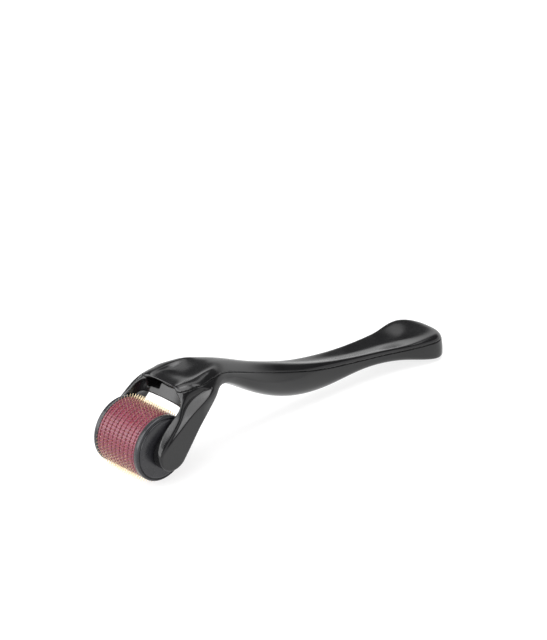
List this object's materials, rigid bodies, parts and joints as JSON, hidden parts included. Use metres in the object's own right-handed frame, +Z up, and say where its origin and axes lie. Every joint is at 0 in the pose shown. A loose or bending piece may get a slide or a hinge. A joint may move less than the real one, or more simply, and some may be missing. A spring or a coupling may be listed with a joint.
{
  "type": "derma roller",
  "caption": "Hand-held derma roller: curved shell handle with a fork at its head, carrying a free-spinning drum of gold needle discs between pink spacer rings.",
  "frame": {"origin": "on the table, under the middle of the object's bounding box", "axes": "+X from the roller to the tail of the handle, +Y along the roller axle, +Z up from the table"},
  "size_m": [0.136, 0.0286, 0.0287],
  "materials": {
    "handle_plastic": "high-gloss black moulded plastic",
    "cap_plastic": "satin-gloss black moulded plastic",
    "spacer_plastic": "glossy pink moulded plastic",
    "core_plastic": "natural moulded plastic",
    "needle_metal": "gold titanium-nitride coated steel",
    "axle_steel": "ground steel"
  },
  "bodies": {
    "handle": {"handle_upper_shell": "handle_plastic", "handle_lower_shell": "handle_plastic"},
    "roller": {"roller_core": "core_plastic", "axle_pin": "axle_steel", "needle_disc_1": "needle_metal", "needle_disc_2": "needle_metal", "needle_disc_3": "needle_metal", "needle_disc_4": "needle_metal", "needle_disc_5": "needle_metal", "needle_disc_6": "needle_metal", "needle_disc_7": "needle_metal", "needle_disc_8": "needle_metal", "needle_disc_9": "needle_metal", "spacer_ring_1": "spacer_plastic", "spacer_ring_2": "spacer_plastic", "spacer_ring_3": "spacer_plastic", "spacer_ring_4": "spacer_plastic", "spacer_ring_5": "spacer_plastic", "spacer_ring_6": "spacer_plastic", "spacer_ring_7": "spacer_plastic", "spacer_ring_8": "spacer_plastic", "spacer_ring_9": "spacer_plastic", "spacer_ring_10": "spacer_plastic", "left_end_cap": "cap_plastic", "right_end_cap": "cap_plastic"}
  },
  "joints": [
    {"name": "roller_spin", "type": "hinge", "parent": "handle", "child": "roller", "pos_m": [-0.0562, 0, 0.0118], "axis": [0, 1, 0], "continuous": true}
  ]
}
